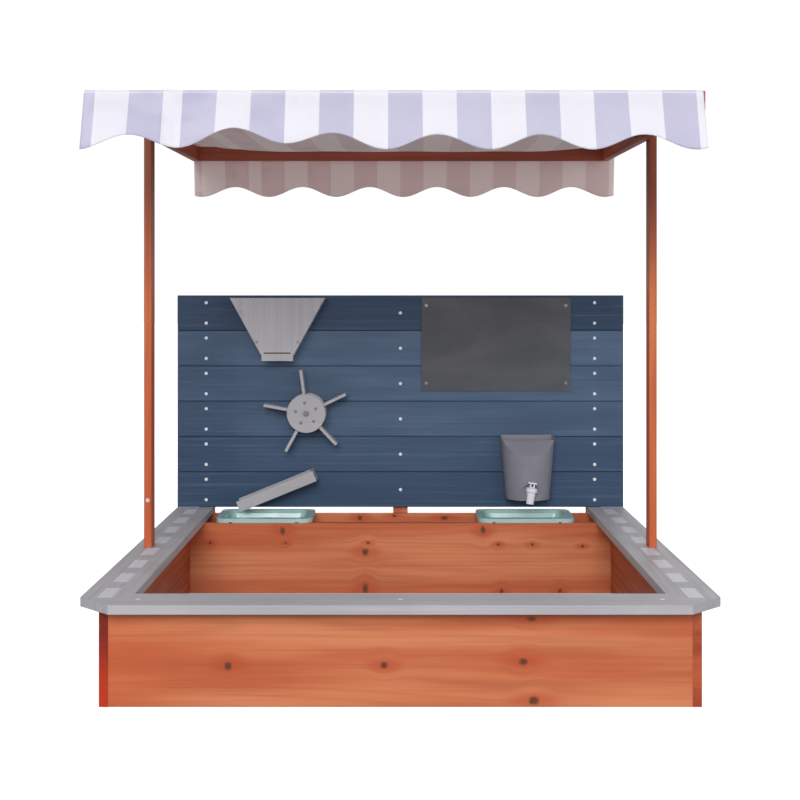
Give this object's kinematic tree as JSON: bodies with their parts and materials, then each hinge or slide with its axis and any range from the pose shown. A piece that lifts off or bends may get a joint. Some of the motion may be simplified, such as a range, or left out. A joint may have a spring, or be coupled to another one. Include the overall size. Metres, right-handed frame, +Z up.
{
  "type": "sandbox with cover",
  "caption": "Square wooden sandbox with seat rim, play wall with funnel, wheel, chute, tank and tubs, and a tilting striped fabric canopy.",
  "frame": {"origin": "middle of the footprint's bounding box, on the ground", "axes": "+X to the right as seen from the open front, +Y towards the play wall at the rear, +Z up"},
  "size_m": [1.18, 1.158, 1.1484],
  "materials": {
    "stained_wood": "orange-brown stained softwood, satin",
    "grey_wood": "painted mid grey, satin",
    "blue_wood": "dark blue glaze with the grain showing",
    "hardboard": "bare brown hardboard",
    "slate": "matt dark grey chalkboard panel",
    "grey_plastic": "moulded, fine satin",
    "white_plastic": "moulded, glossy",
    "mint_plastic": "moulded, satin",
    "black_plastic": "moulded",
    "steel": "zinc-plated",
    "pale_screws": "pale plated screw heads",
    "capped_screws": "pale pinkish-white heads",
    "canopy_fabric": "plain weave, white and lavender stripes"
  },
  "bodies": {
    "frame": {"side_board_left": "stained_wood", "side_board_right": "stained_wood", "front_board": "stained_wood", "inner_wall": "stained_wood", "rear_wall": "stained_wood", "box_screws": "pale_screws", "rim_front": "grey_wood", "rim_left": "grey_wood", "rim_right": "grey_wood", "plank_1": "blue_wood", "plank_2": "blue_wood", "plank_3": "blue_wood", "plank_4": "blue_wood", "plank_5": "blue_wood", "plank_6": "blue_wood", "batten_left": "stained_wood", "batten_middle": "stained_wood", "batten_right": "stained_wood", "wall_screws": "pale_screws", "post_left": "stained_wood", "post_right": "stained_wood", "post_screws": "capped_screws", "funnel_front": "grey_wood", "funnel_cheek_left": "grey_wood", "funnel_cheek_right": "grey_wood", "toy_screws": "steel", "wheel_bolt": "steel", "wheel_nut": "steel", "wheel_washers": "steel", "chute_front": "grey_wood", "chute_back": "grey_wood", "chute_floor": "grey_wood", "chute_end": "grey_wood", "blackboard": "slate", "tank_screws": "steel", "pivot_bolts": "steel"},
    "wheel": {"wheel_disc_front": "grey_wood", "wheel_disc_rear": "grey_wood", "wheel_paddle_1": "grey_wood", "wheel_paddle_2": "grey_wood", "wheel_paddle_3": "grey_wood", "wheel_paddle_4": "grey_wood", "wheel_paddle_5": "grey_wood", "wheel_screws": "steel"},
    "gate": {"funnel_gate": "hardboard"},
    "tank": {"tank_body": "grey_plastic", "tap_body": "white_plastic"},
    "tap": {"tap_handle": "white_plastic"},
    "tub_left": {"tub_left": "mint_plastic"},
    "tub_right": {"tub_right": "mint_plastic"},
    "canopy": {"canopy_bar_left": "stained_wood", "canopy_bar_right": "stained_wood", "canopy_bar_front": "stained_wood", "canopy_bar_rear": "stained_wood", "canopy_screws": "pale_screws", "canopy_top": "canopy_fabric", "valance_front": "canopy_fabric", "valance_rear": "canopy_fabric"},
    "knob_left": {"knob_left": "black_plastic"},
    "knob_right": {"knob_right": "black_plastic"}
  },
  "joints": [
    {"name": "canopy_tilt", "type": "hinge", "parent": "frame", "child": "canopy", "pos_m": [0, -0.011, 1.113], "axis": [1, 0, 0], "range_deg": [-30, 30]},
    {"name": "knob_left_turn", "type": "hinge", "parent": "frame", "child": "knob_left", "pos_m": [-0.525, -0.011, 1.113], "axis": [1, 0, 0], "continuous": true},
    {"name": "knob_right_turn", "type": "hinge", "parent": "frame", "child": "knob_right", "pos_m": [0.525, -0.011, 1.113], "axis": [1, 0, 0], "continuous": true},
    {"name": "wheel_spin", "type": "hinge", "parent": "frame", "child": "wheel", "pos_m": [-0.245, 0.51, 0.448], "axis": [0, -1, 0], "continuous": true},
    {"name": "gate_slide", "type": "slide", "parent": "frame", "child": "gate", "axis": [0, -1, 0], "range_m": [0, 0.04]},
    {"name": "tank_lift", "type": "slide", "parent": "frame", "child": "tank", "axis": [0, 0, 1], "range_m": [0, 0.012]},
    {"name": "tap_turn", "type": "hinge", "parent": "tank", "child": "tap", "pos_m": [0.3345, 0.4294, 0.245], "axis": [0.1392, 0, 0.9903], "range_deg": [0, 90]},
    {"name": "tub_left_tilt", "type": "hinge", "parent": "frame", "child": "tub_left", "pos_m": [-0.347, 0.559, 0.178], "axis": [-1, 0, 0], "range_deg": [0, 7.5]},
    {"name": "tub_right_tilt", "type": "hinge", "parent": "frame", "child": "tub_right", "pos_m": [0.321, 0.559, 0.178], "axis": [-1, 0, 0], "range_deg": [0, 12]}
  ]
}
